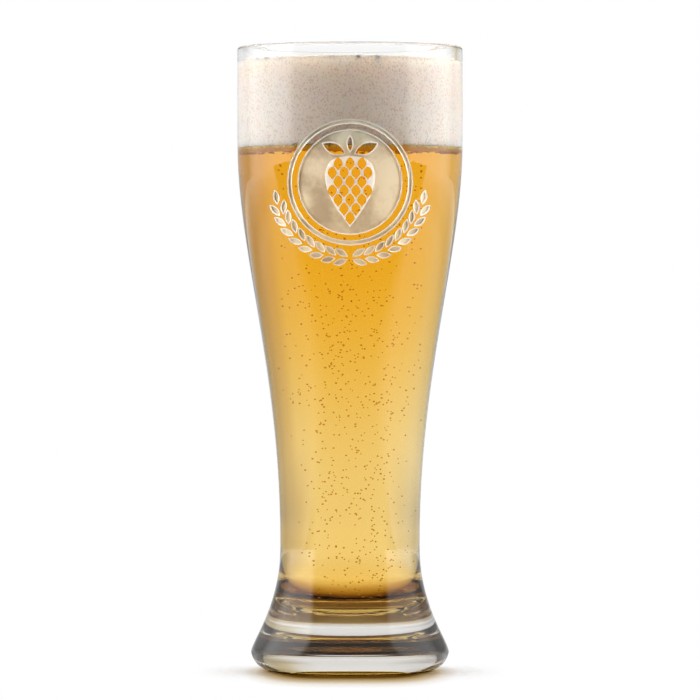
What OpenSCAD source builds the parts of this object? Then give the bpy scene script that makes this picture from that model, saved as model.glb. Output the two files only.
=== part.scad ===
// Tall footed pilsner glass, filled with lager under a head of foam.
// The origin is in the middle of the ring that the glass stands on, with +Z up the axis of the glass.

/* [Outside of the glass] */
// Height of the rim above the table
glass_height = 235; // [215:1:255]
// Width of the straight wall below the rim
mouth_diameter = 84.8; // [78:0.2:92]
// Height at which the swelling bowl turns straight
shoulder_height = 199; // [180:1:205]
// Width of the narrowest place
waist_diameter = 52.4; // [48:0.2:58]
// Height of the narrowest place
waist_height = 47; // [42:1:55]
// Width of the foot at its widest
foot_diameter = 74.4; // [68:0.2:84]
// Height of the line around the widest place of the foot
foot_height = 7.2; // [6:0.1:8.4]
// Radius of the round heel under that line
heel_radius = 8.8; // [7.6:0.1:10]

/* [Curves of the outside] */
// How far the wall holds its width below the shoulder
shoulder_reach = 42; // [30:1:50]
// How far the wall holds its width above the waist
waist_reach_up = 67; // [50:1:75]
// How far the wall holds its width below the waist
waist_reach_down = 22.5; // [15:0.5:26]
// How far the wall holds its width above the line around the foot
foot_reach = 4.2; // [2:0.2:7]

/* [Inside of the glass] */
// Wall thickness at the rim
rim_wall = 2.6; // [1.8:0.1:3.6]
// Wall thickness at the waist
waist_wall = 3.6; // [2.6:0.1:6]
// Height of the middle of the floor above the table
floor_height = 18; // [14:0.5:20]
// Half of the width over which the floor is nearly level
floor_reach = 20.5; // [16:0.5:21]
// How far the inside holds its width below the waist
inside_reach_down = 26; // [20:0.5:26]

/* [Underside] */
// Width of the flat ring that the glass stands on
ring_width = 4; // [2:0.5:8]
// Depth of the shallow hollow inside that ring
hollow_depth = 2.2; // [0.6:0.1:3]

/* [Drink] */
// Gap from the rim down to the edge of the foam
foam_gap = 5; // [3:0.5:25]
// Thickness of the foam at the wall
foam_thickness = 33; // [10:1:50]
// Rise of the middle of the foam above its edge
foam_crown = 1.5; // [0.5:0.1:2.5]

/* [Hidden] */
$fn = 96;
curve_steps = 24;
arc_steps = 10;
mouth_radius = mouth_diameter / 2;
waist_radius = waist_diameter / 2;
foot_radius = foot_diameter / 2;
inside_mouth_radius = mouth_radius - rim_wall;
inside_waist_radius = waist_radius - waist_wall;
// The wall never aims lower than the floor
inside_corner_height = max(floor_height, waist_height - inside_reach_down);
lip_radius = rim_wall / 2;
lip_height = glass_height - lip_radius;
// The heel is tangent to the table and ends on the line around the foot
heel_run = sqrt(pow(heel_radius, 2) - pow(heel_radius - foot_height, 2));
ring_radius = foot_radius - heel_run;
heel_end_angle = -asin((heel_radius - foot_height) / heel_radius);
hollow_radius = ring_radius - ring_width;
hollow_curve_radius = (pow(hollow_radius, 2) + pow(hollow_depth, 2)) / (2 * hollow_depth);
hollow_half_angle = asin(hollow_radius / hollow_curve_radius);
foam_edge = glass_height - foam_gap;
beer_level = foam_edge - foam_thickness;

function bezier(a, b, c, d, t) =
    pow(1 - t, 3) * a + 3 * t * pow(1 - t, 2) * b + 3 * pow(t, 2) * (1 - t) * c + pow(t, 3) * d;

// Points of a cubic curve from a to d, leaving towards b and arriving from c
function curve(a, b, c, d) = [for (i = [0:curve_steps]) bezier(a, b, c, d, i / curve_steps)];

function arc(centre, radius, start, end) = [
    for (i = [0:arc_steps])
        let (angle = start + (end - start) * i / arc_steps)
        centre + radius * [cos(angle), sin(angle)]
];

// All profiles are half sections: [distance from the axis, height]
hollow = arc([0, hollow_depth - hollow_curve_radius], hollow_curve_radius, 90, 90 - hollow_half_angle);

heel = arc([ring_radius, heel_radius], heel_radius, -90, heel_end_angle);

flare = curve(
    [foot_radius, foot_height],
    [foot_radius, foot_height + foot_reach],
    [waist_radius, waist_height - waist_reach_down],
    [waist_radius, waist_height]
);

bowl = curve(
    [waist_radius, waist_height],
    [waist_radius, waist_height + waist_reach_up],
    [mouth_radius, shoulder_height - shoulder_reach],
    [mouth_radius, shoulder_height]
);

lip = arc([mouth_radius - lip_radius, lip_height], lip_radius, 0, 180);

floor_bowl = curve(
    [0, floor_height],
    [floor_reach, floor_height],
    [inside_waist_radius, inside_corner_height],
    [inside_waist_radius, waist_height]
);

inside_bowl = curve(
    [inside_waist_radius, waist_height],
    [inside_waist_radius, waist_height + waist_reach_up],
    [inside_mouth_radius, shoulder_height - shoulder_reach],
    [inside_mouth_radius, shoulder_height]
);

function without_first(points) = [for (i = [1:len(points) - 1]) points[i]];

function reversed(points) = [for (i = [len(points) - 1:-1:0]) points[i]];

outside = concat(hollow, heel, without_first(flare), without_first(bowl));
inside = concat(floor_bowl, without_first(inside_bowl), [[inside_mouth_radius, lip_height]]);

// Distance from the axis to the inside wall at a height
function wall_at(height) = lookup(height, [for (point = inside) [point[1], point[0]]]);

// Points of the inside wall between two heights, ends included
function wall_between(low, high) = concat(
    [[wall_at(low), low]],
    [for (point = inside) if (point[1] > low && point[1] < high) point],
    [[wall_at(high), high]]
);

module revolve(points) {
    rotate_extrude()
        polygon(points);
}

module glass() {
    color([0.86, 0.92, 0.9, 0.35])
        revolve(concat(outside, lip, without_first(reversed(inside))));
}

module beer() {
    color([0.93, 0.69, 0.17, 0.85])
        revolve(concat(wall_between(floor_height, beer_level), [[0, beer_level]]));
}

module foam_head() {
    edge_radius = wall_at(foam_edge);
    crown_radius = (pow(edge_radius, 2) + pow(foam_crown, 2)) / (2 * foam_crown);
    crown_half_angle = asin(edge_radius / crown_radius);
    crown_centre = [0, foam_edge + foam_crown - crown_radius];
    crown = arc(crown_centre, crown_radius, 90 - crown_half_angle, 90);
    color([0.94, 0.9, 0.84])
        revolve(concat([[0, beer_level]], wall_between(beer_level, foam_edge), without_first(crown)));
}

glass();
beer();
foam_head();
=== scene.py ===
# %% [markdown]
# # A pilsner glass of lager
# A tall footed glass, made in one piece, holds a pale lager under a head of foam. The lesson builds the
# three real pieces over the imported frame: the glass, the beer that fills it and the foam on the beer.
# All of them are round, so a half outline spun about the axis is the natural start for each.

# %% Load the frame
import math
import random

import bpy
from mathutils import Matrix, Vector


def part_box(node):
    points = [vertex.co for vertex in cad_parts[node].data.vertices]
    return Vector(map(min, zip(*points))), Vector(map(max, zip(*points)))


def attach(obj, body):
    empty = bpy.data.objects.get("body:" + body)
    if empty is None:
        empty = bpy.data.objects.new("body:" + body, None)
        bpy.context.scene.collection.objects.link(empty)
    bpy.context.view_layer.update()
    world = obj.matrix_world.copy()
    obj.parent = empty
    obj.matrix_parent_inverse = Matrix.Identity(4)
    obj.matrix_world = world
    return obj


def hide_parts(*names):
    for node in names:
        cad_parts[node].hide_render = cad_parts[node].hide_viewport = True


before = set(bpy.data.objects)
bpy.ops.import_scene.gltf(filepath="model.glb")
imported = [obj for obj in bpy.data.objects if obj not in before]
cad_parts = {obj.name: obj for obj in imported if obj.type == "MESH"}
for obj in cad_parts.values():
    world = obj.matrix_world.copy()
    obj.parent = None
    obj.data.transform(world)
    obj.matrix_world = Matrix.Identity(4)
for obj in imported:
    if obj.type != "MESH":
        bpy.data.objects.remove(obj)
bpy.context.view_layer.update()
bpy.context.scene.view_settings.view_transform = "Standard"
MM = 0.001

# %% [markdown]
# ## Camera
# The picture was taken with a long lens from straight in front, level with the middle of the picture: the
# rim is seen a little from below and the foot a little from above, which fixes how far away the lens was.

# %% Camera
PICTURE_PIXELS = 700
MM_PER_PIXEL = 0.3766
TABLE_ROW = 671
CAMERA_DISTANCE = 2.29
SENSOR_WIDTH_MM = 36

view_width = PICTURE_PIXELS * MM_PER_PIXEL * MM
camera_height = (TABLE_ROW - PICTURE_PIXELS / 2) * MM_PER_PIXEL * MM

camera_data = bpy.data.cameras.new("front_camera")
camera_data.sensor_width = SENSOR_WIDTH_MM
camera_data.lens = SENSOR_WIDTH_MM * CAMERA_DISTANCE / view_width
camera = bpy.data.objects.new("front_camera", camera_data)
camera.location = (0, -CAMERA_DISTANCE, camera_height)
camera.rotation_euler = (math.radians(90), 0, 0)
bpy.context.scene.collection.objects.link(camera)
bpy.context.scene.camera = camera
print("lens", round(camera_data.lens), "mm at height", round(camera_height, 4))

# %% [markdown]
# ## Colours and nodes
# Every finish below is a small tree of shader nodes. One function adds a node with its settings and links,
# so that a finish reads as a list of what goes into it. Colours are picked as a screen shows them, in sRGB,
# and shaders reckon in linear light, so one function turns the first into the second.


# %% Helpers for colours and nodes
def linear(hex_colour, share=1.0):
    """A colour written as sRGB hex, as the linear RGBA that shaders take, dimmed to a share."""
    channels = [int(hex_colour[i : i + 2], 16) / 255 for i in (1, 3, 5)]
    linears = [c / 12.92 if c <= 0.04045 else ((c + 0.055) / 1.055) ** 2.4 for c in channels]
    return [c * share for c in linears] + [1.0]


def grey(level):
    """A grey of a linear level."""
    return (level, level, level, 1.0)


def levels(stops, span=1.0, light=1.0):
    """Ramp stops from (place, level) pairs: places as shares of a span, levels as shares of a light."""
    return [(at / span, grey(level / light)) for at, level in stops]


def add_node(tree, kind, inputs=None, settings=None, stops=()):
    """Adds a node. Inputs take plain values, outputs, or nodes, which give their first output in use.
    Stops are the (position, colour) pairs of a colour ramp, in rising order."""
    node = tree.nodes.new("ShaderNode" + kind)
    for name, value in (settings or {}).items():
        setattr(node, name, value)
    for name, value in (inputs or {}).items():
        if isinstance(value, bpy.types.Node):
            value = next(output for output in value.outputs if output.enabled)
        if isinstance(value, bpy.types.NodeSocket):
            tree.links.new(value, node.inputs[name])
        else:
            node.inputs[name].default_value = value
    if stops:
        elements = node.color_ramp.elements
        elements[0].position = stops[0][0]
        elements[1].position = stops[-1][0]
        for at, _ in stops[1:-1]:
            elements.new(at)
        for element, (_, colour) in zip(elements, stops):
            element.color = colour
    return node


def empty_material(name):
    """A material with nothing in it but its output node."""
    material = bpy.data.materials.new(name)
    material.use_nodes = True
    material.node_tree.nodes.clear()
    output = add_node(material.node_tree, "OutputMaterial")
    return material, material.node_tree, output


# Settings that many nodes share, and the sockets of a mix of colours
SUM = {"operation": "ADD"}
PRODUCT = {"operation": "MULTIPLY"}
QUOTIENT = {"operation": "DIVIDE"}
LARGER = {"operation": "MAXIMUM"}
UNSIGNED = {"operation": "ABSOLUTE"}
LENGTH = {"operation": "LENGTH"}
SMOOTH = {"interpolation_type": "SMOOTHSTEP"}
COLOUR_MIX = {"data_type": "RGBA"}
COLOUR_PRODUCT = {"data_type": "RGBA", "blend_type": "MULTIPLY"}
SHARE, FIRST, SECOND = 0, 6, 7
WHITE = grey(1.0)
print("mid grey on a screen is", round(linear("#808080")[0], 3), "in linear light")

# %% [markdown]
# ## Studio
# A white table in a white tent. Clear things are lit by what stands behind them, so the white has to be
# there for rays that pass the glass as well, with the corners of the tent a little dimmer than its back.
# These levels are light and not paint, so they are plain linear numbers.

# %% Backdrop
FULL_TURN, HALF_TURN = 360, 180
WARM_GAP = (0.26, 0.17, 0.085, 1.0)
# Angle from the camera's side, then the light of the tent there and of its low part with the table
BACKDROP = (
    (-180, 1.0, 1.0),
    (-166, 1.0, 1.0),
    (-156, 0.97, 0.8),
    (-149, 0.92, 0.72),
    (-138, 0.87, 0.6),
    (-122, 0.9, 0.66),
    (-95, 0.97, 0.9),
    (-66, 0.9, 0.9),
    (-56, WARM_GAP, 0.9),
    (56, WARM_GAP, 0.9),
    (66, 0.9, 0.9),
    (95, (0.9, 0.86, 0.76, 1.0), (0.85, 0.81, 0.72, 1.0)),
    (122, (0.68, 0.59, 0.38, 1.0), (0.56, 0.49, 0.33, 1.0)),
    (138, (0.62, 0.53, 0.33, 1.0), (0.5, 0.43, 0.28, 1.0)),
    (149, (0.75, 0.66, 0.46, 1.0), (0.6, 0.53, 0.38, 1.0)),
    (156, (0.92, 0.89, 0.8, 1.0), (0.73, 0.67, 0.54, 1.0)),
    (166, 1.0, 1.0),
    (180, 1.0, 1.0),
)
TENT, LOW = 1, 2
SIDE_CHANGE = ((0.45, 0.0), (0.55, 1.0))


def around(tree, vector):
    """Where a vector points, seen from above: 0.5 at the camera's side, and 0 and 1 at the back."""
    way = add_node(tree, "SeparateXYZ", {0: vector})
    forwards = add_node(tree, "Math", {0: way.outputs[1], 1: -1.0}, PRODUCT)
    angle = add_node(tree, "Math", {0: way.outputs[0], 1: forwards}, {"operation": "ARCTAN2"})
    turn = add_node(tree, "Math", {0: angle, 1: 2 * math.pi}, QUOTIENT)
    return add_node(tree, "Math", {0: turn, 1: 0.5}, SUM), way


def turn_from_front(tree, position):
    """From 0 at the camera's side to 1 at the back."""
    aside = add_node(tree, "Math", {0: position, 1: 0.5}, {"operation": "SUBTRACT"})
    aside = add_node(tree, "Math", {0: aside}, UNSIGNED)
    return add_node(tree, "Math", {0: aside, 1: 2.0}, PRODUCT)


def backdrop_level(tree, position, column):
    """The light of the tent, or of its low part, at a position around."""
    stops = []
    for row in BACKDROP:
        level = row[column]
        stops.append((row[0] / FULL_TURN + 0.5, level if isinstance(level, tuple) else grey(level)))
    return add_node(tree, "ValToRGB", {0: position}, stops=stops)


def left_to_right(tree, position, left, right):
    """Goes over from what holds on the camera's left to what holds on its right."""
    share = add_node(tree, "ValToRGB", {0: position}, stops=levels(SIDE_CHANGE))
    return add_node(tree, "Mix", {SHARE: share, FIRST: left, SECOND: right}, COLOUR_MIX)


def mirrored_ray(tree, path):
    """1 for rays that a surface has reflected; rays bent by glass count as glossy as well."""
    rays = {0: path.outputs["Is Glossy Ray"], 1: path.outputs["Is Transmission Ray"]}
    return add_node(tree, "Math", rays, {"operation": "GREATER_THAN"})


print("the backdrop has", len(BACKDROP), "levels around")

# %% [markdown]
# ## Table
# The table is a plain sheet of white paper. Light that comes through the beer leaves an amber patch on it,
# close around the foot. Tracing that light would take far too long, so the patch is drawn on the paper by
# the distance from the foot, and farther out the paper glows white, where the shadow has ended.

# %% Table
TABLE_SIZE = 8

bpy.ops.object.select_all(action="DESELECT")
bpy.ops.mesh.primitive_plane_add(size=TABLE_SIZE, location=(0, 0, 0))
table = bpy.context.object
table.name = "table"
paper, tree, output = empty_material("white_paper")
table.data.materials.append(paper)
place = add_node(tree, "TexCoord").outputs["Object"]
path = add_node(tree, "LightPath")
position, across = around(tree, place)
sideways, away = across.outputs[0], across.outputs[1]
print("table:", TABLE_SIZE, "m square")

# %% End of the shadow
SHADOW_RADIUS = 0.1
WHITE_RADIUS = 0.18
# How much faster the shadow ends sideways than towards the camera
SHADOW_NARROWING = 3.0

narrow = add_node(tree, "Math", {0: sideways, 1: SHADOW_NARROWING}, PRODUCT)
narrow = add_node(tree, "CombineXYZ", {0: narrow, 1: away})
reach = add_node(tree, "VectorMath", {0: narrow}, LENGTH)
far = add_node(tree, "MapRange", {0: reach, "From Min": SHADOW_RADIUS, "From Max": WHITE_RADIUS}, SMOOTH)
print("the shadow ends at", round(WHITE_RADIUS / SHADOW_NARROWING, 3), "m on the sides")

# %% Amber patch
PAPER = 0.55
# Half axes sideways, towards the camera and away from it
PATCH_HALF_AXES = (0.028, 0.057, 0.03)
PATCH_RANGE = 2.2
# Painted shadow and amber light around the foot, by the reach from it out to white paper
PATCH = (
    (0.14, "#A27F36"),
    (0.23, "#8C6A24"),
    (0.34, "#54360C"),
    (0.41, "#745726"),
    (0.46, "#9A8250"),
    (0.53, "#B6A27C"),
    (0.60, "#C6B79C"),
    (0.73, "#E6E3DC"),
    (0.95, "#F6FAFF"),
)

wide = add_node(tree, "Math", {0: sideways, 1: PATCH_HALF_AXES[0]}, QUOTIENT)
wide = add_node(tree, "Math", {0: wide, 1: 2.0}, {"operation": "POWER"})
deep = add_node(tree, "Math", {0: away, 1: PATCH_HALF_AXES[1]}, QUOTIENT)
deep = add_node(tree, "Math", {0: deep}, UNSIGNED)
# Only the camera sees the patch end sooner behind the foot; through the glass it is seen whole
behind = add_node(tree, "Math", {0: away, 1: PATCH_HALF_AXES[2]}, QUOTIENT)
behind = add_node(tree, "Math", {0: behind, 1: path.outputs["Is Camera Ray"]}, PRODUCT)
deep = add_node(tree, "Math", {0: deep, 1: behind}, LARGER)
squeezed = add_node(tree, "CombineXYZ", {0: wide, 1: deep})
reach = add_node(tree, "VectorMath", {0: squeezed}, LENGTH)
reach = add_node(tree, "Math", {0: reach, 1: PATCH_RANGE}, QUOTIENT)
patch_colours = [(at, linear(colour, PAPER)) for at, colour in PATCH]
patch = add_node(tree, "ValToRGB", {0: reach}, stops=patch_colours)
print("the patch has", len(PATCH), "colours")

# %% [markdown]
# Glass mirrors the table on its sides. There the paper is given the light of the panels that stand over
# it, nearer or farther, so that the veils on the glass are strong where the picture has them.

# %% Table in the glass
PANEL_MIRRORED = 2.3
# The mirrored light by distance in metres, on both sides, and its share by the turn from the camera's side
MIRRORED_LEFT = ((0.5, 0.75), (1.1, 1.25), (1.5, 0.95), (3.5, 2.3))
MIRRORED_RIGHT = ((0.5, 1.0), (1.1, 1.5), (1.5, 1.2), (3.5, 2.3))
MIRRORED_TURN = ((108, 1.0), (132, 0.5))

reach = add_node(tree, "VectorMath", {0: place}, LENGTH)
reach = add_node(tree, "Math", {0: reach, 1: TABLE_SIZE}, QUOTIENT)
left = add_node(tree, "ValToRGB", {0: reach}, stops=levels(MIRRORED_LEFT, TABLE_SIZE, PANEL_MIRRORED))
right = add_node(tree, "ValToRGB", {0: reach}, stops=levels(MIRRORED_RIGHT, TABLE_SIZE, PANEL_MIRRORED))
sides = left_to_right(tree, position, left, right)
sides = add_node(tree, "Mix", {SHARE: 1.0, FIRST: sides, SECOND: grey(PANEL_MIRRORED)}, COLOUR_PRODUCT)
turn = turn_from_front(tree, position)
turned = add_node(tree, "ValToRGB", {0: turn}, stops=levels(MIRRORED_TURN, HALF_TURN))
sides = add_node(tree, "Mix", {SHARE: 1.0, FIRST: sides, SECOND: turned}, COLOUR_PRODUCT)
mirrored = mirrored_ray(tree, path)
tone = add_node(tree, "Mix", {SHARE: mirrored, FIRST: WHITE, SECOND: sides}, COLOUR_MIX)
through = path.outputs["Is Transmission Ray"]
low_tent = backdrop_level(tree, position, LOW)
tone = add_node(tree, "Mix", {SHARE: through, FIRST: tone, SECOND: low_tent}, COLOUR_MIX)
print("the table's tree has", len(tree.nodes), "nodes")

# %% Paper
# Rays that the glass mirrors, or that left a matt surface, find the table dark under the camera
FRONT_EDGE = -0.26
FRONT_DARK = -0.36
FRONT_SHADE = "#202020"

colour = add_node(tree, "Mix", {SHARE: 1.0, FIRST: patch, SECOND: tone}, COLOUR_PRODUCT)
lit = add_node(tree, "BsdfDiffuse", {"Color": colour})
glow = add_node(tree, "Emission", {"Color": tone, "Strength": 1.0})
both = add_node(tree, "MixShader", {0: far, 1: lit, 2: glow})
front = add_node(tree, "MapRange", {0: away, "From Min": FRONT_EDGE, "From Max": FRONT_DARK})
unseen = add_node(tree, "Math", {0: mirrored, 1: path.outputs["Diffuse Depth"]}, LARGER)
unseen = add_node(tree, "Math", {0: unseen, 1: 1.0}, {"operation": "MINIMUM"})
hidden = add_node(tree, "Math", {0: front, 1: unseen}, PRODUCT)
shade = add_node(tree, "BsdfDiffuse", {"Color": linear(FRONT_SHADE)})
surface = add_node(tree, "MixShader", {0: hidden, 1: both, 2: shade})
tree.links.new(surface.outputs[0], output.inputs["Surface"])
print("table finish:", paper.name)

# %% [markdown]
# ## Light tent
# White panels stand behind and on both sides, with a dark warm gap where the camera stands. Lamps would
# show as spots in the glass, so the world draws the tent by direction. Rays that reach it straight, by
# reflection or through the glass see the panels. Rays that left a matt surface see the light on it.

# %% Light tent
world = bpy.data.worlds.new("light_tent")
bpy.context.scene.world = world
world.use_nodes = True
tree = world.node_tree
tree.nodes.clear()
output = add_node(tree, "OutputWorld")
path = add_node(tree, "LightPath")
position, way = around(tree, add_node(tree, "TexCoord").outputs["Generated"])
turn = turn_from_front(tree, position)
mirrored = mirrored_ray(tree, path)
# From 0 straight down to 1 straight up
height = add_node(tree, "Math", {0: way.outputs[2], 1: 0.5}, PRODUCT)
height = add_node(tree, "Math", {0: height, 1: 0.5}, SUM)
print("world:", world.name)

# %% Light from the panels
PANEL_LIGHT = 6.1
# Angle from the camera's side and the share of the panels' light that falls from there
LIGHT_AROUND = (
    (46, (0.05, 0.025, 0.005, 1.0)),
    (58, (0.68, 0.61, 0.52, 1.0)),
    (72, grey(1.0)),
    (104, grey(1.0)),
    (124, grey(0.65)),
    (136, grey(0.35)),
    (180, grey(0.4)),
)
TOP_LIGHT = grey(0.5)
BELOW_TOP = ((0.86, 1.0), (0.93, 0.0))

light_stops = [(at / HALF_TURN, colour) for at, colour in LIGHT_AROUND]
panels = add_node(tree, "ValToRGB", {0: turn}, stops=light_stops)
panels = add_node(tree, "Mix", {SHARE: 1.0, FIRST: panels, SECOND: grey(PANEL_LIGHT)}, COLOUR_PRODUCT)
below = add_node(tree, "ValToRGB", {0: height}, stops=levels(BELOW_TOP))
lighting = add_node(tree, "Mix", {SHARE: below, FIRST: TOP_LIGHT, SECOND: panels}, COLOUR_MIX)
print("panels light with", PANEL_LIGHT, "and the top with", TOP_LIGHT[0])

# %% Panels in the glass
# The mirrored panels by the angle from the camera's side, and their share by height on both sides
PANELS_AROUND = ((58, 0.02), (66, 1.0), (112, 1.0), (130, 0.27), (180, 0.27))
MIRRORED_HEIGHT_LEFT = ((0.525, 1.0), (0.56, 0.6), (0.66, 1.0))
MIRRORED_HEIGHT_RIGHT = ((0.525, 1.0), (0.56, 0.45), (0.66, 0.6))

panels = add_node(tree, "ValToRGB", {0: turn}, stops=levels(PANELS_AROUND, HALF_TURN))
panels = add_node(tree, "Mix", {SHARE: 1.0, FIRST: panels, SECOND: grey(PANEL_MIRRORED)}, COLOUR_PRODUCT)
left = add_node(tree, "ValToRGB", {0: height}, stops=levels(MIRRORED_HEIGHT_LEFT))
right = add_node(tree, "ValToRGB", {0: height}, stops=levels(MIRRORED_HEIGHT_RIGHT))
sides = left_to_right(tree, position, left, right)
panels = add_node(tree, "Mix", {SHARE: 1.0, FIRST: panels, SECOND: sides}, COLOUR_PRODUCT)
print("panels are mirrored with", PANEL_MIRRORED)

# %% Tent through the glass
TENT_TOP = "#5A4026"
# Heights where the top of the tent begins, through the glass and in it, and where its low part ends
TOP_THROUGH = ((0.9, 1.0), (1.0, 0.0))
TOP_MIRRORED = ((0.9, 1.0), (0.97, 0.0))
LOW_PART = ((0.502, 1.0), (0.53, 0.0))
# The top comes down further on the camera's side
FRONT_AROUND = ((63, 1.0), (108, 0.0))
FRONT_LOWERING = 0.32

front = add_node(tree, "ValToRGB", {0: turn}, stops=levels(FRONT_AROUND, HALF_TURN))
lowered = add_node(tree, "Math", {0: front, 1: FRONT_LOWERING}, PRODUCT)
lowered = add_node(tree, "Math", {0: height, 1: lowered}, SUM)
top_through = add_node(tree, "ValToRGB", {0: lowered}, stops=levels(TOP_THROUGH))
top_mirrored = add_node(tree, "ValToRGB", {0: height}, stops=levels(TOP_MIRRORED))
below = add_node(tree, "Mix", {SHARE: mirrored, FIRST: top_through, SECOND: top_mirrored}, COLOUR_MIX)
low_share = add_node(tree, "ValToRGB", {0: height}, stops=levels(LOW_PART))
walls = backdrop_level(tree, position, TENT)
low_tent = backdrop_level(tree, position, LOW)
seen = add_node(tree, "Mix", {SHARE: low_share, FIRST: walls, SECOND: low_tent}, COLOUR_MIX)
seen = add_node(tree, "Mix", {SHARE: mirrored, FIRST: seen, SECOND: panels}, COLOUR_MIX)
seen = add_node(tree, "Mix", {SHARE: below, FIRST: linear(TENT_TOP), SECOND: seen}, COLOUR_MIX)
by_camera = path.outputs["Is Camera Ray"]
seen = add_node(tree, "Mix", {SHARE: by_camera, FIRST: seen, SECOND: WHITE}, COLOUR_MIX)
print("the tent's tree has", len(tree.nodes), "nodes")

# %% Tent seen or lighting
straight_ray = add_node(tree, "Math", {0: by_camera, 1: path.outputs["Is Glossy Ray"]}, LARGER)
through = path.outputs["Is Transmission Ray"]
straight_ray = add_node(tree, "Math", {0: straight_ray, 1: through}, LARGER)
matt_bounces = path.outputs["Diffuse Depth"]
no_matt_bounce = add_node(tree, "Math", {0: matt_bounces, 1: 0.5}, {"operation": "LESS_THAN"})
straight_ray = add_node(tree, "Math", {0: straight_ray, 1: no_matt_bounce}, PRODUCT)
colour = add_node(tree, "Mix", {SHARE: straight_ray, FIRST: lighting, SECOND: seen}, COLOUR_MIX)
tent = add_node(tree, "Background", {"Color": colour})
tree.links.new(tent.outputs[0], output.inputs["Surface"])
print("tent strength", tent.inputs["Strength"].default_value)

# %% [markdown]
# ## Outlines
# The half section of the glass is a chain of cubic curves: foot, flare, swelling bowl, lip, and the inside
# with its bowl-shaped floor. Blender's own Bezier curve takes the same control points, so the outline has
# only the few points that its shape needs.

# %% Sizes of the glass
rim_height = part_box("glass")[1][2]
mouth_radius = 42.4 * MM
waist_radius = 26.2 * MM
waist_height = 47 * MM
shoulder_height = 199 * MM
shoulder_reach = 42 * MM
waist_reach_up = 67 * MM
waist_reach_down = 22.5 * MM
foot_radius = 37.2 * MM
foot_height = 7.2 * MM
foot_reach = 4.2 * MM
heel_radius = 8.8 * MM
ring_width = 4 * MM
hollow_depth = 2.2 * MM
rim_wall = 2.6 * MM
waist_wall = 3.6 * MM
floor_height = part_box("beer")[0][2]
floor_reach = 20.5 * MM
inside_reach_down = 26 * MM

inside_mouth_radius = mouth_radius - rim_wall
inside_waist_radius = waist_radius - waist_wall
lip_radius = rim_wall / 2
lip_height = rim_height - lip_radius
ring_radius = foot_radius - math.sqrt(heel_radius**2 - (heel_radius - foot_height) ** 2)
hollow_radius = ring_radius - ring_width
print("rim at", round(rim_height / MM, 1), "mm, floor at", round(floor_height / MM, 1), "mm")


# %% Stretches of an outline
def arc(centre, radius, start, end):
    """A round stretch under a right angle or so, as the four control points of one cubic curve."""
    reach = 4 / 3 * math.tan((end - start) / 4) * radius
    first = (centre[0] + radius * math.cos(start), centre[1] + radius * math.sin(start))
    last = (centre[0] + radius * math.cos(end), centre[1] + radius * math.sin(end))
    leave = (first[0] - reach * math.sin(start), first[1] + reach * math.cos(start))
    arrive = (last[0] + reach * math.sin(end), last[1] - reach * math.cos(end))
    return first, leave, arrive, last


def straight(first, last):
    """A straight stretch as control points."""
    leave = tuple(a + (b - a) / 3 for a, b in zip(first, last))
    arrive = tuple(b - (b - a) / 3 for a, b in zip(first, last))
    return first, leave, arrive, last


def reversed_outline(stretches):
    """The same stretches, run through from their end."""
    return [tuple(reversed(stretch)) for stretch in reversed(stretches)]


# %% Outline of the glass
right_angle = math.pi / 2
heel_end = -math.asin((heel_radius - foot_height) / heel_radius)
hollow_curve = (hollow_radius**2 + hollow_depth**2) / (2 * hollow_depth)
hollow_half_angle = math.asin(hollow_radius / hollow_curve)

outside = [
    arc((0, hollow_depth - hollow_curve), hollow_curve, right_angle, right_angle - hollow_half_angle),
    straight((hollow_radius, 0), (ring_radius, 0)),
    arc((ring_radius, heel_radius), heel_radius, -right_angle, heel_end),
    (
        (foot_radius, foot_height),
        (foot_radius, foot_height + foot_reach),
        (waist_radius, waist_height - waist_reach_down),
        (waist_radius, waist_height),
    ),
    (
        (waist_radius, waist_height),
        (waist_radius, waist_height + waist_reach_up),
        (mouth_radius, shoulder_height - shoulder_reach),
        (mouth_radius, shoulder_height),
    ),
    straight((mouth_radius, shoulder_height), (mouth_radius, lip_height)),
]
lip_centre = (mouth_radius - lip_radius, lip_height)
lip = [
    arc(lip_centre, lip_radius, 0, right_angle),
    arc(lip_centre, lip_radius, right_angle, 2 * right_angle),
]


def inside_wall(swell):
    """The inside from the floor up to the lip, pushed out into the glass by swell."""
    waist = inside_waist_radius + swell
    mouth = inside_mouth_radius + swell
    floor = floor_height - swell
    return [
        ((0, floor), (floor_reach, floor), (waist, waist_height - inside_reach_down), (waist, waist_height)),
        (
            (waist, waist_height),
            (waist, waist_height + waist_reach_up),
            (mouth, shoulder_height - shoulder_reach),
            (mouth, shoulder_height),
        ),
        straight((mouth, shoulder_height), (mouth, lip_height)),
    ]


glass_outline = outside + lip + reversed_outline(inside_wall(0))
print("the outline of the glass has", len(glass_outline), "stretches")

# %% [markdown]
# ## Glass
# Such a glass is pressed and blown in one mould, so it has no seam, and its rim is melted round. Stacked
# cylinders could give its rough form. One closed outline, spun once about the axis, gives the wall, the
# thick foot and the lip in one piece, as they are on the real glass.

# %% Draw an outline and spin it
CURVE_STEPS = 24
SPIN_STEPS = 160
MERGE_DISTANCE = 1e-6
CREASE_ANGLE = math.radians(6)


def draw_outline(name, stretches):
    """A Bezier curve in the XZ plane through all stretches, made a chain of edges."""
    bpy.ops.object.select_all(action="DESELECT")
    bpy.ops.curve.primitive_bezier_curve_add(location=(0, 0, 0))
    outline = bpy.context.object
    outline.name = name
    outline.data.resolution_u = CURVE_STEPS
    points = outline.data.splines[0].bezier_points
    points.add(len(stretches) - 1)
    for point in points:
        point.handle_left_type = "FREE"
        point.handle_right_type = "FREE"
    for before, after, stretch in zip(points, points[1:], stretches):
        first, leave, arrive, last = ((x, 0, z) for x, z in stretch)
        before.co, before.handle_right = first, leave
        after.handle_left, after.co = arrive, last
    points[0].handle_left = points[0].co
    points[-1].handle_right = points[-1].co
    bpy.ops.object.convert(target="MESH")
    return bpy.context.object


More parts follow.
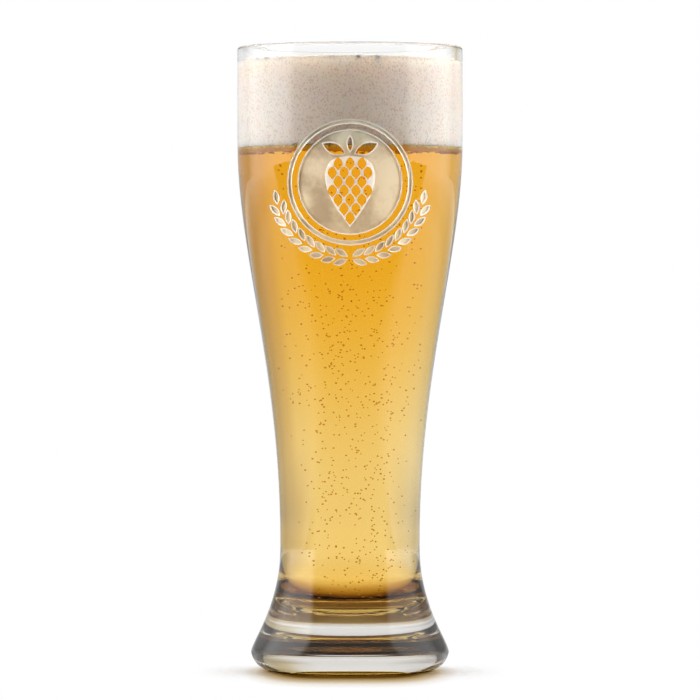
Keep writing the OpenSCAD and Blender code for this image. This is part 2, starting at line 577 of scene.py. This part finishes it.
def spin(piece):
    """Turns an outline once round the axis, closes its seam and poles and turns its faces outwards."""
    bpy.ops.object.mode_set(mode="EDIT")
    bpy.ops.mesh.select_all(action="SELECT")
    bpy.ops.mesh.spin(steps=SPIN_STEPS, angle=2 * math.pi, center=(0, 0, 0), axis=(0, 0, 1))
    bpy.ops.mesh.select_all(action="SELECT")
    bpy.ops.mesh.remove_doubles(threshold=MERGE_DISTANCE)
    bpy.ops.mesh.select_all(action="SELECT")
    bpy.ops.mesh.normals_make_consistent(inside=False)
    bpy.ops.object.mode_set(mode="OBJECT")
    bpy.ops.object.shade_smooth_by_angle(angle=CREASE_ANGLE)
    print(piece.name, len(piece.data.polygons), "faces")
    return piece


glass = spin(draw_outline("pilsner_glass", glass_outline))

# %% [markdown]
# ## Carved roundel
# A sign is blasted into the front of the glass: a round field with a hop cone left standing in it, a thin
# ring about it and two barley ears below. It is drawn flat as curves, the way a stencil is cut, and in two
# sizes: the wide one for a shallow brim, painted white as a highlight, and the narrow one for the deeper
# floor inside it.


# %% Lines of a stencil
def add_loop(curve, points):
    """A closed line of a stencil through (place, handle before, handle after) triples."""
    spline = curve.splines.new("BEZIER")
    spline.bezier_points.add(len(points) - 1)
    spline.use_cyclic_u = True
    for knot, (place, before, after) in zip(spline.bezier_points, points):
        knot.handle_left_type = "FREE"
        knot.handle_right_type = "FREE"
        knot.co = (*place, 0)
        knot.handle_left = (*before, 0)
        knot.handle_right = (*after, 0)


def add_circle(curve, radius):
    """A circle about the middle of the stencil, in four quarters."""
    reach = 4 / 3 * math.tan(math.pi / 8) * radius
    points = []
    for quarter in range(4):
        c, s = math.cos(quarter * right_angle), math.sin(quarter * right_angle)
        before = (radius * c + reach * s, radius * s - reach * c)
        after = (radius * c - reach * s, radius * s + reach * c)
        points.append(((radius * c, radius * s), before, after))
    add_loop(curve, points)


def add_almond(curve, centre, size, angle):
    """A pointed oval: its long axis turned by angle from upright, clockwise."""
    length, width = size
    half, near, belly = length / 2, length / 6, width * 2 / 3
    c, s = math.cos(angle), math.sin(angle)

    def at(along, across):
        return (centre[0] + s * along + c * across, centre[1] + c * along - s * across)

    tip = (at(half, 0), at(near, -belly), at(near, belly))
    tail = (at(-half, 0), at(-near, belly), at(-near, -belly))
    add_loop(curve, [tip, tail])


def add_bract(curve, centre, size):
    """A scale of the cone: round above and pointed below."""
    x, y = centre
    half_length, half_width = size[0] / 2, size[1] / 2
    top, low = y + half_length, y - half_length
    left, right = x - half_width, x + half_width
    above, below, near_tip = y + half_length * 0.4, y - half_length / 3, low + half_length / 3
    points = [
        ((x, top), (x - half_width / 2, top), (x + half_width / 2, top)),
        ((right, y), (right, above), (right, below)),
        ((x, low), (x + half_width / 4, near_tip), (x - half_width / 4, near_tip)),
        ((left, y), (left, below), (left, above)),
    ]
    add_loop(curve, points)


# %% Hop cone
BRACT_ROWS = (3, 4, 3, 4, 3, 2, 1)
BRACT = (4.9 * MM, 3.4 * MM)
BRACT_PITCH = (4.4 * MM, 3.35 * MM)
CONE_TOP = 6.6 * MM
# The line around all bracts: its height over the top row, its length below it, its half width and handles
CONE_ABOVE = 3 * MM
CONE_LENGTH = 23.3 * MM
CONE_HALF_WIDTH = 9.2 * MM
CONE_WIDEST = 5 * MM
CONE_ROUNDING = 7.5 * MM
CONE_TIP = (2.2 * MM, 3.4 * MM)


def add_cone(curve, inset):
    """The hop cone: single bracts in staggered rows, or one line around them all where the cut is inset."""
    if inset == 0:
        for row, count in enumerate(BRACT_ROWS):
            for k in range(count):
                across = (k - (count - 1) / 2) * BRACT_PITCH[0]
                add_bract(curve, (across, CONE_TOP - row * BRACT_PITCH[1]), BRACT)
        return
    top, low, widest = CONE_TOP + CONE_ABOVE, CONE_TOP - CONE_LENGTH, CONE_TOP - CONE_WIDEST
    above, below = widest + CONE_WIDEST, widest - CONE_ROUNDING
    left, right = -CONE_HALF_WIDTH, CONE_HALF_WIDTH
    near_tip = low + CONE_TIP[1]
    points = [
        ((0, top), (-CONE_ROUNDING, top), (CONE_ROUNDING, top)),
        ((right, widest), (right, above), (right, below)),
        ((0, low), (CONE_TIP[0], near_tip), (-CONE_TIP[0], near_tip)),
        ((left, widest), (left, below), (left, above)),
    ]
    add_loop(curve, points)


print("the cone has", sum(BRACT_ROWS), "bracts")

# %% Stencils
ROUNDEL_HEIGHT = 183 * MM
STENCIL_DISTANCE = 60 * MM
STENCIL_STEPS = 10
BRIM_WIDTH = 0.42 * MM
FIELD_RADIUS = 19.5 * MM
RING_RADII = (21.6 * MM, 23.4 * MM)
LEAF = (8.8 * MM, 3.8 * MM)
LEAF_CENTRE = (6.0 * MM, 12.4 * MM)
LEAF_LEAN = math.radians(66)
STALK = (5.6 * MM, 1.8 * MM)
STALK_CENTRE = (0, 14.2 * MM)
EAR_RADIUS = 28 * MM
EAR_START = math.radians(7)
GRAIN = (5.6 * MM, 2.4 * MM)
GRAIN_PAIRS = 8
GRAIN_PITCH = math.radians(9)
GRAIN_LEAN = math.radians(24)
GRAIN_OFFSET = 1.75 * MM


def add_ears(curve, grain):
    """Two barley ears: grains in pairs along an arc, and one grain at the tip."""
    for side in (-1, 1):
        for k in range(GRAIN_PAIRS + 1):
            turn = EAR_START + k * GRAIN_PITCH
            heading = side * (right_angle - turn)
            for lean in (0,) if k == GRAIN_PAIRS else (-1, 1):
                reach = EAR_RADIUS + lean * GRAIN_OFFSET
                centre = (side * reach * math.sin(turn), -reach * math.cos(turn))
                add_almond(curve, centre, grain, heading + side * lean * GRAIN_LEAN)


def draw_stencil(name, inset):
    """The whole sign, with every cut narrower by the inset on each side, standing in front of the glass."""
    curve = bpy.data.curves.new(name, "CURVE")
    curve.dimensions = "2D"
    curve.fill_mode = "BOTH"
    curve.resolution_u = STENCIL_STEPS
    # A pointed shape loses more at its two ends than on its sides
    longer, wider = 3 * inset, 2 * inset
    add_circle(curve, FIELD_RADIUS - inset)
    add_circle(curve, RING_RADII[0] + inset)
    add_circle(curve, RING_RADII[1] - inset)
    add_cone(curve, inset)
    for side in (-1, 1):
        centre = (side * LEAF_CENTRE[0], LEAF_CENTRE[1])
        add_almond(curve, centre, (LEAF[0] + longer, LEAF[1] + wider), side * LEAF_LEAN)
    add_almond(curve, STALK_CENTRE, (STALK[0] + longer, STALK[1] + wider), 0)
    add_ears(curve, (GRAIN[0] - longer, GRAIN[1] - wider))
    drawn = bpy.data.objects.new(name, curve)
    bpy.context.scene.collection.objects.link(drawn)
    drawn.location = (0, -STENCIL_DISTANCE, ROUNDEL_HEIGHT)
    drawn.rotation_euler = (right_angle, 0, 0)
    print(name, "has", len(curve.splines), "closed lines")
    return drawn


stencils = [draw_stencil("brim_stencil", 0), draw_stencil("floor_stencil", BRIM_WIDTH)]

# %% [markdown]
# Each flat stencil is cut into small tiles so that it can bend, laid onto the glass from the front, given
# its depth and taken away from the glass. Painting the sign would be quicker, but the blasted edge catches
# light of its own. The glass keeps its clear finish and the hollows get their matt ones.

# %% Tiles
TILE = (1.2 * MM, 2.4 * MM)
# Keeps the cuts between tiles off the points of the stencil
TILE_SHIFT = 0.37
TILED_REACH = 34 * MM


def make_active(piece):
    """Selects one piece alone."""
    bpy.ops.object.select_all(action="DESELECT")
    piece.select_set(True)
    bpy.context.view_layer.objects.active = piece


def flip_faces():
    """Turns all faces of the active piece round."""
    bpy.ops.object.mode_set(mode="EDIT")
    bpy.ops.mesh.select_all(action="SELECT")
    bpy.ops.mesh.flip_normals()
    bpy.ops.object.mode_set(mode="OBJECT")


def tile(drawn):
    """Turns a drawn stencil into a sheet of small faces that look towards the camera."""
    make_active(drawn)
    bpy.ops.object.convert(target="MESH")
    sheet = bpy.context.object
    bpy.ops.object.transform_apply(location=True, rotation=True, scale=True)
    bpy.ops.object.mode_set(mode="EDIT")
    bpy.ops.mesh.select_all(action="SELECT")
    bpy.ops.mesh.remove_doubles(threshold=MERGE_DISTANCE)
    bpy.ops.mesh.select_all(action="SELECT")
    bpy.ops.mesh.normals_make_consistent(inside=False)
    for axis, size in ((0, TILE[0]), (2, TILE[1])):
        count = int(TILED_REACH / size)
        normal = [0, 0, 0]
        normal[axis] = 1
        for k in range(-count, count + 1):
            place = [0, 0, ROUNDEL_HEIGHT]
            place[axis] += (k + TILE_SHIFT) * size
            bpy.ops.mesh.select_all(action="SELECT")
            bpy.ops.mesh.bisect(plane_co=place, plane_no=normal)
    bpy.ops.object.mode_set(mode="OBJECT")
    if sheet.data.polygons[0].normal.y > 0:
        flip_faces()
    print(sheet.name, len(sheet.data.polygons), "tiles")
    return sheet


sheets = [tile(drawn) for drawn in stencils]

# %% Carve
CARVE_DEPTHS = (0.32 * MM, 0.8 * MM)
CARVE_LIFT = 0.1 * MM
CARVED_CREASE_ANGLE = math.radians(20)


def apply_modifier(piece, kind, settings):
    """Adds a modifier, sets it and applies it."""
    make_active(piece)
    modifier = piece.modifiers.new(kind.lower(), kind)
    for name, value in settings.items():
        setattr(modifier, name, value)
    bpy.ops.object.modifier_apply(modifier=modifier.name)


glass_material, glass_tree, glass_output = empty_material("soda_lime_glass")
frost_material, frost_tree, frost_output = empty_material("sandblasted_glass")
brim_material, brim_tree, brim_output = empty_material("sandblasted_glass_brim_painted_highlight")
wet_material, wet_tree, wet_output = empty_material("soda_lime_glass_wetted")
under_material, under_tree, under_output = empty_material("soda_lime_glass_stippled_painted_amber")
glass.data.materials.append(glass_material)
faces_before = len(glass.data.polygons)
onto_glass = {
    "target": glass,
    "wrap_method": "PROJECT",
    "use_project_y": True,
    "use_positive_direction": True,
    "wrap_mode": "ABOVE_SURFACE",
    "offset": CARVE_LIFT,
}
for sheet, depth, material in zip(sheets, CARVE_DEPTHS, (brim_material, frost_material)):
    sheet.data.materials.append(material)
    apply_modifier(sheet, "SHRINKWRAP", onto_glass)
    apply_modifier(sheet, "SOLIDIFY", {"thickness": depth, "offset": -1})
for sheet in sheets:
    cut = {"operation": "DIFFERENCE", "object": sheet, "solver": "MANIFOLD", "material_mode": "TRANSFER"}
    apply_modifier(glass, "BOOLEAN", cut)
    bpy.data.objects.remove(sheet)
bpy.ops.object.shade_smooth_by_angle(angle=CARVED_CREASE_ANGLE)
print("glass:", faces_before, "faces before carving,", len(glass.data.polygons), "after")
print("glass slots:", [m.name for m in glass.data.materials])

# %% [markdown]
# Where beer and foam wet the glass, light passes from glass straight into beer, which bends it far less than
# air would. Those faces get a finish of their own with the ratio of the two indices. The underside, which
# stands on the table, is finely stippled, which is a guess, and painted amber as light that has crossed the
# beer. Faces are picked by their place and normal.

# %% Wetted faces and underside
FOAM_BELOW_RIM = 5 * MM
INWARDS = -0.5
DOWNWARDS = -0.3
FACE_SLACK = 0.1 * MM
FLOOR_SLACK = 0.3 * MM
STIPPLE_PAST_RING = 2.5 * MM

foam_edge = rim_height - FOAM_BELOW_RIM
glass.data.materials.append(wet_material)
glass.data.materials.append(under_material)
slots = {material.name: k for k, material in enumerate(glass.data.materials)}
counts = {"wetted": 0, "under": 0}
for face in glass.data.polygons:
    x, y, z = face.center
    radius = math.hypot(x, y)
    outward = (face.normal.x * x + face.normal.y * y) / radius
    near_floor = floor_height - FACE_SLACK < z < waist_height
    on_floor = near_floor and radius < inside_waist_radius + FLOOR_SLACK
    by_table = z < hollow_depth + FACE_SLACK and radius < ring_radius + STIPPLE_PAST_RING
    if face.material_index != slots["soda_lime_glass"]:
        continue
    if z < foam_edge and (outward < INWARDS or on_floor):
        face.material_index = slots["soda_lime_glass_wetted"]
        counts["wetted"] += 1
    elif face.normal.z < DOWNWARDS and by_table:
        face.material_index = slots["soda_lime_glass_stippled_painted_amber"]
        counts["under"] += 1
print("faces:", counts)

# %% [markdown]
# ## Beer
# The beer takes the shape of the inside, up to the line under the foam. Its outline is the inside wall, cut
# off at that height. It reaches a hair into the glass, so that no film of air is left between the two.

# %% Beer
beer_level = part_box("beer")[1][2]
OVERLAP = 0.12 * MM
HALVINGS = 40


def start_of(stretch, share):
    """The first share of a cubic curve, as control points."""
    points = list(stretch)
    kept = [points[0]]
    while len(points) > 1:
        pairs = zip(points, points[1:])
        points = [tuple(a + (b - a) * share for a, b in zip(first, last)) for first, last in pairs]
        kept.append(points[0])
    return tuple(kept)


def cut_at(stretch, height):
    """The part of a rising stretch below a height, by halving the range of shares until it fits."""
    low, high = 0.0, 1.0
    for _ in range(HALVINGS):
        middle = (low + high) / 2
        if start_of(stretch, middle)[-1][1] < height:
            low = middle
        else:
            high = middle
    return start_of(stretch, low)


floor_bowl, inside_bowl, _ = inside_wall(OVERLAP)
beer_side = cut_at(inside_bowl, beer_level)
beer_outline = [floor_bowl, beer_side, straight(beer_side[-1], (0, beer_level))]
beer = spin(draw_outline("lager", beer_outline))
beer_material, beer_tree, beer_output = empty_material("pale_lager")
beer.data.materials.append(beer_material)

# %% [markdown]
# ## Bubbles
# Gas leaves the beer at a few spots on the floor and climbs in loose strings. Particles could scatter the
# bubbles, but they would have to be turned into a mesh. Each bubble is a small hole in the beer: a sphere
# of few faces, turned inside out and joined to the beer.

# %% Copies of a bubble
BUBBLE_SEGMENTS = 8
BUBBLE_RINGS = 6


def add_bubbles(piece, material, spots, hollow=False):
    """Copies a small sphere to spots, which are (place, size, share of height), and joins all to a piece."""
    bpy.ops.object.select_all(action="DESELECT")
    bpy.ops.mesh.primitive_uv_sphere_add(
        segments=BUBBLE_SEGMENTS, ring_count=BUBBLE_RINGS, radius=1, location=(0, 0, 0)
    )
    pattern = bpy.context.object
    bpy.ops.object.shade_smooth()
    if hollow:
        flip_faces()
    pattern.data.materials.append(material)
    for place, size, flat in spots:
        bubble = pattern.copy()
        bubble.data = pattern.data.copy()
        bubble.location = place
        bubble.scale = (size, size, size * flat)
        bpy.context.scene.collection.objects.link(bubble)
        bubble.select_set(True)
    bpy.data.objects.remove(pattern)
    piece.select_set(True)
    bpy.context.view_layer.objects.active = piece
    bpy.ops.object.join()
    print(piece.name, "with", len(spots), "bubbles:", len(piece.data.polygons), "faces")


# %% Bubbles
BUBBLE_COUNT = 900
BUBBLE_RADII = (0.2 * MM, 0.36 * MM)
# Where the strings start on the floor, in mm sideways and away from the camera
STRINGS = ((-13, 2), (-8.5, -6), (-6, 7), (-1, -3), (2, 5), (5, -8), (9, 3), (12, -6), (16, 4))
RISE_CROWDING = 0.9
BUBBLES_ABOVE_FLOOR = 3 * MM
BUBBLES_BELOW_FOAM = 5 * MM
# Strings lean outwards and loosen as they climb: the value at the floor and what the climb adds
STRING_LEAN = (0.75, 0.3)
STRING_SPREAD = (1.8 * MM, 6.0 * MM)
# How far from the axis bubbles stay, in the narrow bottom and above it
BOTTOM_HEIGHT = waist_height - 12 * MM
BOTTOM_REACH = 9 * MM
WALL_CLEARANCE = 2.5 * MM

random.seed(11)
lowest = floor_height + BUBBLES_ABOVE_FLOOR
climb = beer_level - BUBBLES_BELOW_FOAM - lowest
spots = []
for _ in range(BUBBLE_COUNT):
    string = random.choice(STRINGS)
    rise = random.random() ** RISE_CROWDING
    z = lowest + rise * climb
    spread = STRING_SPREAD[0] + STRING_SPREAD[1] * rise
    lean = STRING_LEAN[0] + STRING_LEAN[1] * rise
    x = string[0] * MM * lean + random.gauss(0, spread)
    y = string[1] * MM * lean + random.gauss(0, spread)
    furthest = inside_waist_radius - WALL_CLEARANCE if z > BOTTOM_HEIGHT else BOTTOM_REACH
    keep = min(1.0, furthest / math.hypot(x, y))
    spots.append(((x * keep, y * keep, z), random.uniform(*BUBBLE_RADII), 1.0))
bubble_material, bubble_tree, bubble_output = empty_material("pale_lager_bubble_wall")
add_bubbles(beer, bubble_material, spots, hollow=True)

# %% [markdown]
# ## Foam
# The head is a plug of fine foam. Its side lies against the glass and its top is a low dome with a crust of
# larger bubbles, which get coarser towards the glass. Where it meets the beer its edge is ragged. The plug
# is spun like the glass, and the single bubbles that show are copies of one sphere.

# %% Foam
foam_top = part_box("foam_head")[1][2]
FOAM_GAP = 0.04 * MM
FOAM_SUNK = 0.1 * MM
FOAM_TAPER = 0.05 * MM
DOME_HANDLES = (0.6, 0.3)

foam_radius = inside_mouth_radius - FOAM_GAP
foam_low = beer_level - FOAM_SUNK
low_edge = (foam_radius - FOAM_TAPER, foam_low)
foam_outline = [
    straight((0, foam_low), low_edge),
    straight(low_edge, (foam_radius, foam_edge)),
    (
        (foam_radius, foam_edge),
        (foam_radius * DOME_HANDLES[0], foam_top),
        (foam_radius * DOME_HANDLES[1], foam_top),
        (0, foam_top),
    ),
]
foam = spin(draw_outline("foam_head_froth", foam_outline))
foam_material, foam_tree, foam_output = empty_material("beer_foam")
foam.data.materials.append(foam_material)

# %% Crust and ragged edge
CRUST_COUNT = 420
CRUST_RADII = (0.35 * MM, 1.5 * MM)
CRUST_RARITY = 3
# The size of the largest bubbles in the middle, and what the way to the glass adds
CRUST_COARSENING = (0.4, 0.6)
# Shares of a bubble's size: its room to the glass, its depth in the foam and its height
CRUST_ROOM, CRUST_SUNK, CRUST_HEIGHT = 1.15, 0.45, 0.85
EDGE_COUNT = 900
EDGE_RADII = (0.16 * MM, 0.42 * MM)
EDGE_DEPTH = 0.9 * MM
EDGE_SUNK = 0.4
EDGE_CLEARANCE = 0.25 * MM

spots = []
for _ in range(CRUST_COUNT):
    share = math.sqrt(random.random())
    angle = random.uniform(0, 2 * math.pi)
    coarse = CRUST_COARSENING[0] + CRUST_COARSENING[1] * share
    size = CRUST_RADII[0] + (CRUST_RADII[1] - CRUST_RADII[0]) * random.random() ** CRUST_RARITY * coarse
    away = min(share * foam_radius, foam_radius - CRUST_ROOM * size)
    dome_height = foam_edge + (foam_top - foam_edge) * (1 - (away / foam_radius) ** 2)
    place = (away * math.cos(angle), away * math.sin(angle), dome_height - size * CRUST_SUNK)
    spots.append((place, size, CRUST_HEIGHT))
for _ in range(EDGE_COUNT):
    angle = random.uniform(0, 2 * math.pi)
    size = random.uniform(*EDGE_RADII)
    away = foam_radius - EDGE_CLEARANCE - size
    height = foam_low + EDGE_SUNK * size - EDGE_DEPTH * random.random() ** 2
    spots.append(((away * math.cos(angle), away * math.sin(angle), height), size, 1.0))
crust_material, crust_tree, crust_output = empty_material("beer_foam_bubbles")
add_bubbles(foam, crust_material, spots)

# %% [markdown]
# ## Finishes of the glass
# Soda-lime glass is clear, and its colour comes from the depth of glass that light crosses. Fire-polished
# faces are perfectly smooth. The foot is so thick that it looks a little grey and hazy; both are ramps
# over the height of the glass, fitted to the picture.

# %% Clear glass
GLASS_INDEX = 1.52
BEER_INDEX = 1.34
CLEAR = {"Base Color": WHITE, "Roughness": 0.0, "Transmission Weight": 1.0}
FOOT_TINT = "#E7E5E1"
FOOT_HAZE = 0.97
foot_thick, foot_thin = 15 * MM / rim_height, 30 * MM / rim_height

place = add_node(glass_tree, "TexCoord")
height = add_node(glass_tree, "SeparateXYZ", {0: place.outputs["Object"]}).outputs[2]
height = add_node(glass_tree, "Math", {0: height, 1: rim_height}, QUOTIENT)
tints = ((foot_thick, linear(FOOT_TINT)), (foot_thin, WHITE))
tint = add_node(glass_tree, "ValToRGB", {0: height}, stops=tints)
hazes = levels(((foot_thick, FOOT_HAZE), (foot_thin, 1.0)))
haze = add_node(glass_tree, "ValToRGB", {0: height}, stops=hazes)
outer_finish = {**CLEAR, "Base Color": tint, "Transmission Weight": haze, "IOR": GLASS_INDEX}
body = add_node(glass_tree, "BsdfPrincipled", outer_finish)
glass_tree.links.new(body.outputs[0], glass_output.inputs["Surface"])

# Against beer the glass hardly shows, so the beer seems to fill the wall
body = add_node(wet_tree, "BsdfPrincipled", {**CLEAR, "IOR": GLASS_INDEX / BEER_INDEX})
wet_tree.links.new(body.outputs[0], wet_output.inputs["Surface"])
print("index against air", GLASS_INDEX, "and against beer", round(GLASS_INDEX / BEER_INDEX, 3))

# %% Stippled underside
# Fine stipples pass half of the light and scatter the rest; their amber is painted light, standing in for
# light from the beer
STIPPLE_AND_PAINTED_AMBER = {"Base Color": linear("#8E6422"), "Roughness": 0.0, "Transmission Weight": 0.5, "IOR": GLASS_INDEX}

body = add_node(under_tree, "BsdfPrincipled", STIPPLE_AND_PAINTED_AMBER)
under_tree.links.new(body.outputs[0], under_output.inputs["Surface"])
print("underside:", under_material.name)

# %% [markdown]
# Sand leaves a matt, milky surface with a grit too fine to see. It shows as a soft unevenness, so the
# pattern here is coarser than the sand: specks of about two millimetres over clouds of about a centimetre.
# The shallow brim is painted whiter than the deeper floor, a painted highlight where the edge of the cut
# catches light; the floor lets more of the beer's colour through.

# %% Sandblasted glass
SPECK = 2.2 * MM
CLOUD = 11.0 * MM
CLOUD_SHARE = 0.75
FROST_DARK, FROST_PALE = 0.38, 0.6
FROST = {
    "Roughness": 0.55,
    "IOR": GLASS_INDEX,
    "Subsurface Radius": (1.0, 1.0, 1.0),
    "Subsurface Scale": 2.0 * MM,
}
# Dark and pale colours, the share of light that passes and the milkiness
FROSTS = (
    (frost_tree, frost_output, ("#B8B3A0", "#ECEDDA"), 0.35, 0.5),
    # The brim's near white is a painted highlight on the edge of the cut
    (brim_tree, brim_output, ("#F6F2E8", "#FFFFFF"), 0.1, 1.0),
)
for tree, output, (dark, pale), passing, milkiness in FROSTS:
    place = add_node(tree, "TexCoord").outputs["Object"]
    specks = add_node(tree, "TexNoise", {"Vector": place, "Scale": 1 / SPECK, "Detail": 4.0})
    clouds = add_node(tree, "TexNoise", {"Vector": place, "Scale": 1 / CLOUD, "Detail": 0.5})
    grit = add_node(tree, "Mix", {0: CLOUD_SHARE, 2: specks, 3: clouds})
    shades = ((FROST_DARK, linear(dark)), (FROST_PALE, linear(pale)))
    shade = add_node(tree, "ValToRGB", {0: grit}, stops=shades)
    frosted = {**FROST, "Base Color": shade, "Transmission Weight": passing, "Subsurface Weight": milkiness}
    body = add_node(tree, "BsdfPrincipled", frosted)
    tree.links.new(body.outputs[0], output.inputs["Surface"])
print("frosted finishes:", len(FROSTS))

# %% [markdown]
# ## Finishes of the beer
# Lager is clear and gold: it takes the blue out of light little by little, so a volume that absorbs gives
# the colour by depth, as in the real drink. The column is deepest in colour at the wide top and just over
# the floor; a tint on its side helps that along.

# %% Lager
# What the depth of beer takes out of light, as a colour and a density
LAGER = {"Color": linear("#FCE784"), "Density": 50.0}
TOP_TINT = "#FDEC84"
top_from, top_full = 70 * MM, 160 * MM
LOW_TINT = "#FCE695"
low_full, low_end = 24 * MM / rim_height, 44 * MM / rim_height

place = add_node(beer_tree, "TexCoord")
height = add_node(beer_tree, "SeparateXYZ", {0: place.outputs["Object"]}).outputs[2]
rise = add_node(beer_tree, "MapRange", {0: height, "From Min": top_from, "From Max": top_full}, SMOOTH)
top_tint = add_node(beer_tree, "ValToRGB", {0: rise}, stops=((0.0, WHITE), (1.0, linear(TOP_TINT))))
height = add_node(beer_tree, "Math", {0: height, 1: rim_height}, QUOTIENT)
low_tints = ((low_full, linear(LOW_TINT)), (low_end, WHITE))
low_tint = add_node(beer_tree, "ValToRGB", {0: height}, stops=low_tints)
tint = add_node(beer_tree, "Mix", {SHARE: 1.0, FIRST: top_tint, SECOND: low_tint}, COLOUR_PRODUCT)
# The wetted glass already bends the light, so the beer's own side doesn't
body = add_node(beer_tree, "BsdfPrincipled", {**CLEAR, "Base Color": tint, "IOR": 1.0})
depth = add_node(beer_tree, "VolumeAbsorption", LAGER)
beer_tree.links.new(body.outputs[0], beer_output.inputs["Surface"])
beer_tree.links.new(depth.outputs[0], beer_output.inputs["Volume"])
print("absorption per metre:", [round(LAGER["Density"] * (1 - c), 1) for c in LAGER["Color"][:3]])

# %% Bubble walls
# A bubble turns light aside at its rim, so it shows as a small brown ring; its golden tint is painted shade
# that deepens the ring, and the index is a softened one
BUBBLE_RING_SHADE = "#D9B25E"
BUBBLE_INDEX = 1.16

bubble_wall = {**CLEAR, "Base Color": linear(BUBBLE_RING_SHADE), "IOR": BUBBLE_INDEX}
body = add_node(bubble_tree, "BsdfPrincipled", bubble_wall)
bubble_tree.links.new(body.outputs[0], bubble_output.inputs["Surface"])
print("bubble walls:", bubble_material.name)

# %% [markdown]
# ## Finish of the foam
# Beer foam is thousands of tiny films of beer around gas. Light wanders inside it, which makes it soft and
# cream white, and its bubbles show as faint dimples. They are drawn at just under a millimetre, coarser
# than most are, so that they show. Towards the top the colour is painted darker: a painted shade, as the top
# takes the most light.

# %% Foam finish
DIMPLE = 0.9 * MM
DIMPLE_UPRIGHT = 0.85
MOTTLE = 3.0 * MM
MOTTLE_SHARE = 0.35
FOAM_SHADES = ((0.23, "#DACEC2"), (0.48, "#F4EEE8"))
# Heights over which the painted shade on the top of the foam comes in
top_shade_from, top_shade_full = foam_edge - 2 * MM, foam_edge + 0.3 * MM
BUMP = {"Strength": 0.5, "Distance": 0.3 * MM}
FROTH = {
    "Roughness": 0.7,
    "IOR": BEER_INDEX,
    "Subsurface Radius": (1.0, 0.75, 0.55),
    "Subsurface Scale": 10 * MM,
}
# Light wanders in the plug; single bubbles are too small for that. Then the colour of the painted shade on
# their tops
FROTHS = ((foam_tree, foam_output, 1.0, "#C4C5C8"), (crust_tree, crust_output, 0.0, "#F6F3F1"))
for tree, output, wander, top_shade_colour in FROTHS:
    place = add_node(tree, "TexCoord").outputs["Object"]
    stretch = add_node(tree, "Mapping", {"Vector": place, "Scale": (1.0, 1.0, DIMPLE_UPRIGHT)})
    cells = add_node(tree, "TexVoronoi", {"Vector": stretch, "Scale": 1 / DIMPLE})
    cloudy = {"Vector": stretch, "Scale": 1 / MOTTLE, "Detail": 5.0, "Roughness": 0.65}
    clouds = add_node(tree, "TexNoise", cloudy)
    mottle = add_node(tree, "Mix", {0: MOTTLE_SHARE, 2: cells, 3: clouds})
    shades = [(at, linear(colour)) for at, colour in FOAM_SHADES]
    mottled_colour = add_node(tree, "ValToRGB", {0: mottle}, stops=shades)
    height = add_node(tree, "SeparateXYZ", {0: place}).outputs[2]
    # Painted shade: the colour is multiplied darker towards the top of the foam
    top_shade_share = add_node(tree, "MapRange", {0: height, "From Min": top_shade_from, "From Max": top_shade_full}, SMOOTH)
    shaded_top = add_node(tree, "Mix", {SHARE: 1.0, FIRST: mottled_colour, SECOND: linear(top_shade_colour)}, COLOUR_PRODUCT)
    shade = add_node(tree, "Mix", {SHARE: top_shade_share, FIRST: mottled_colour, SECOND: shaded_top}, COLOUR_MIX)
    grain = add_node(tree, "Bump", {**BUMP, "Height": mottle})
    froth = {**FROTH, "Base Color": shade, "Normal": grain, "Subsurface Weight": wander}
    body = add_node(tree, "BsdfPrincipled", froth)
    tree.links.new(body.outputs[0], output.inputs["Surface"])
print("foam finishes:", len(FROTHS))

# %% [markdown]
# ## Hand over
# Nothing on the glass moves, so all three pieces ride on the one body, and each takes the place of the
# solid that it was built over.

# %% Ride and finish
for piece, node, finish in ((glass, "glass", "glass"), (beer, "beer", "beer"), (foam, "foam_head", "foam")):
    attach(piece, "root")
    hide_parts(node)
